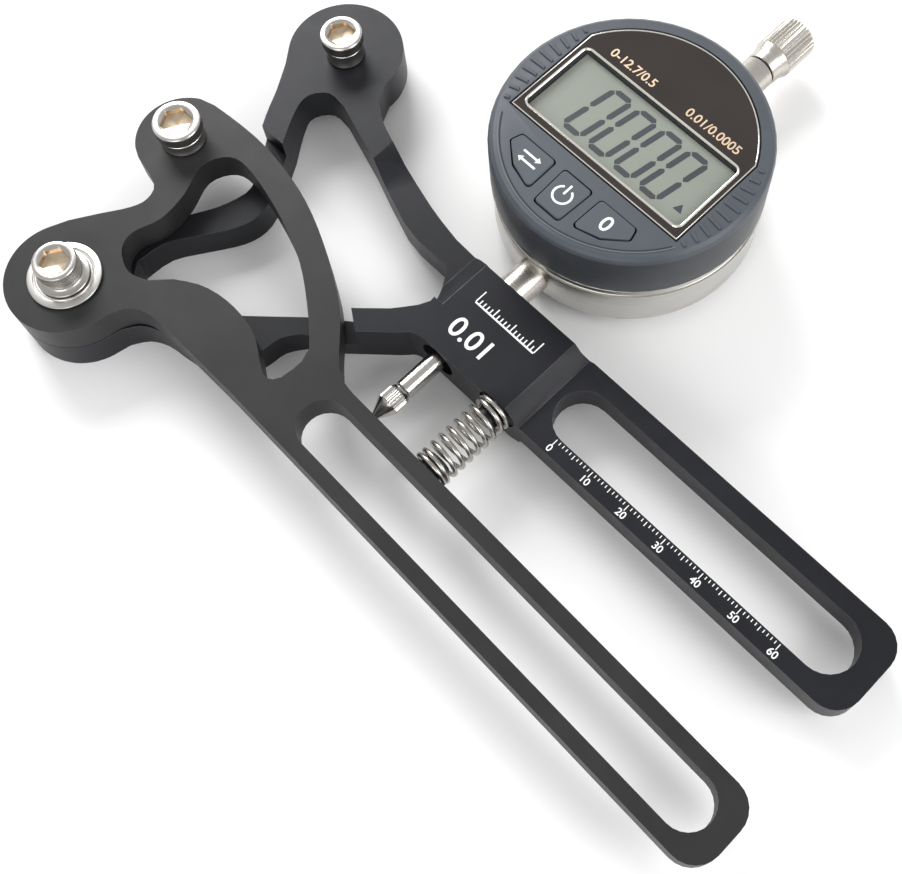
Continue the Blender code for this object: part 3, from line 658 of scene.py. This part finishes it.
def coil_points(centre, start, end, radius, turns, per_turn):
    """A compression spring along y whose first and last turns lie closed."""
    points = []
    dead = 1.0
    count = int(turns * per_turn)
    pitch_closed = 0.95 * MM
    free = (end - start) - 2 * dead * pitch_closed
    for i in range(count + 1):
        turn = i / per_turn
        if turn < dead:
            y = start + turn * pitch_closed
        elif turn > turns - dead:
            y = end - (turns - turn) * pitch_closed
        else:
            y = start + dead * pitch_closed + free * (turn - dead) / (turns - 2 * dead)
        angle = 2 * math.pi * turn
        points.append((centre[0] + radius * math.cos(angle), y, centre[1] + radius * math.sin(angle)))
    return points


def coil_spring(node, thick, turns, per_turn, sides):
    """A spring's mesh in its node's place, with the axis and the lowest and highest ends of its wire."""
    axis = (middle(node).x, middle(node).z)
    start, end = low(node).y + thick, high(node).y - thick
    radius = (high(node).z - low(node).z) / 2 - thick
    points = coil_points(axis, start, end, radius, turns, per_turn)
    return tube(node + "_coil", points, thick, "spring", sides=sides), axis, start, end


def springs():
    """The handle spring and the spindle spring, each coiled in its node's place."""
    coil, axis, start, end = coil_spring("handle_spring", 0.52 * MM, 9.5, 40, 12)
    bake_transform(coil)
    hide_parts("handle_spring")

    coil, axis, start, end = coil_spring("spindle_spring", 0.25 * MM, 9.0, 20, 6)
    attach(coil, ROOT)
    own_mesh(coil)
    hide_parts("spindle_spring")


# ---------------------------------------------------------------- stage, light and camera
def stage():
    """A pale floor in white surroundings."""
    bm = bmesh.new()
    reach = 2.5
    corners = [(-reach, -reach, 0), (reach, -reach, 0), (reach, reach, 0), (-reach, reach, 0)]
    bm.faces.new([bm.verts.new(corner) for corner in corners])
    floor = finish_piece("studio_floor", bm, "floor")
    world = bpy.context.scene.world or bpy.data.worlds.new("studio")
    bpy.context.scene.world = world
    world.use_nodes = True
    world.node_tree.nodes["Background"].inputs["Color"].default_value = (1.0, 1.0, 1.0, 1.0)
    world.node_tree.nodes["Background"].inputs["Strength"].default_value = 0.62


def soft_light(name, place, target, size, power):
    lamp = bpy.data.lights.new(name, "AREA")
    lamp.shape = "RECTANGLE"
    lamp.size, lamp.size_y = size
    lamp.energy = power
    made = bpy.data.objects.new(name, lamp)
    made.location = place
    made.rotation_euler = (Vector(target) - Vector(place)).to_track_quat("-Z", "Y").to_euler()
    bpy.context.collection.objects.link(made)


def lights():
    aim = (0.0, 0.0, 0.01)
    soft_light("key", (-0.65, 0.25, 0.5), aim, (0.5, 0.4), 6.0)
    soft_light("fill", (0.7, 0.2, 0.5), aim, (0.5, 0.5), 3.5)
    soft_light("front", (0.25, -0.6, 0.4), aim, (0.5, 0.3), 1.5)


def camera():
    """Above the handles' side, tilted 21 degrees from straight down and turned 45 degrees."""
    tilt, roll = 0.374, -0.010
    right0 = Vector((0.70571, 0.70850, 0.0))
    ahead = Vector((-0.70850, 0.70571, 0.0))
    view = ahead * math.sin(tilt) - Vector((0, 0, 1)) * math.cos(tilt)
    up0 = ahead * math.cos(tilt) + Vector((0, 0, 1)) * math.sin(tilt)
    right = right0 * math.cos(roll) + up0 * math.sin(roll)
    up = up0 * math.cos(roll) - right0 * math.sin(roll)
    lens = bpy.data.cameras.new("camera")
    lens.sensor_width = 36.0
    lens.lens = 52.86
    lens.shift_x = -0.1121
    lens.shift_y = -0.0074
    lens.clip_start = 0.01
    made = bpy.data.objects.new("camera", lens)
    turn = Matrix((right, up, -view)).transposed().to_4x4()
    made.matrix_world = Matrix.Translation((0.087855, -0.09464, 0.26263)) @ turn
    bpy.context.collection.objects.link(made)
    bpy.context.scene.camera = made


# ---------------------------------------------------------------- the whole model
# The frame's and arm's bevel faces are lighter: edge wear and a painted highlight
refine("fixed_frame", "anodised", 0.18, wear_and_sheen="anodised_edge_wear_and_highlight")
refine("moving_arm", "anodised_arm", 0.18, body="moving_arm", wear_and_sheen="anodised_arm_edge_wear_and_highlight")
socket_screw("outer_post_screw", 3.0)
socket_screw("pivot_screw", 3.3)
socket_screw("middle_post_screw", 2.9, "moving_arm")
post_sleeve("outer_post_sleeve")
post_sleeve("middle_post_sleeve", "moving_arm")
pivot_pieces()
printed_marks()
indicator_case()
# The bezel's side walls take the darker plastic copy: painted shade
repaint(refine("indicator_bezel", "plastic", 0.12), "plastic_side_painted_shade",
        lambda face: abs(face.normal.z) < 0.35 and face.center.z < 29.9 * MM)
face_ribs()
refine("display_panel", "panel", 0.08)
refine("display_window", "window", 0.05)
refine("lcd_module", "lcd", 0.1)
panel_trims()
panel_numbers()
lcd_digits()
buttons()
spindle_pieces()
springs()
for hidden, look in {"back_cover": "plastic", "battery_cover": "plastic", "battery": "satin",
                     "circuit_board": "board", "reader_board": "board", "pivot_bushing": "brass",
                     "stem_grub_screw": "stainless"}.items():
    refine(hidden, look, 0.12)
for number in range(1, 5):
    refine(f"back_cover_screw_{number}", "stainless", 0.06)
refine("measuring_scale", "lcd", 0.05, body="spindle")
refine("spindle_collar", "brass", 0.05, body="spindle")
stage()
lights()
camera()
bpy.context.scene.view_settings.view_transform = "Standard"
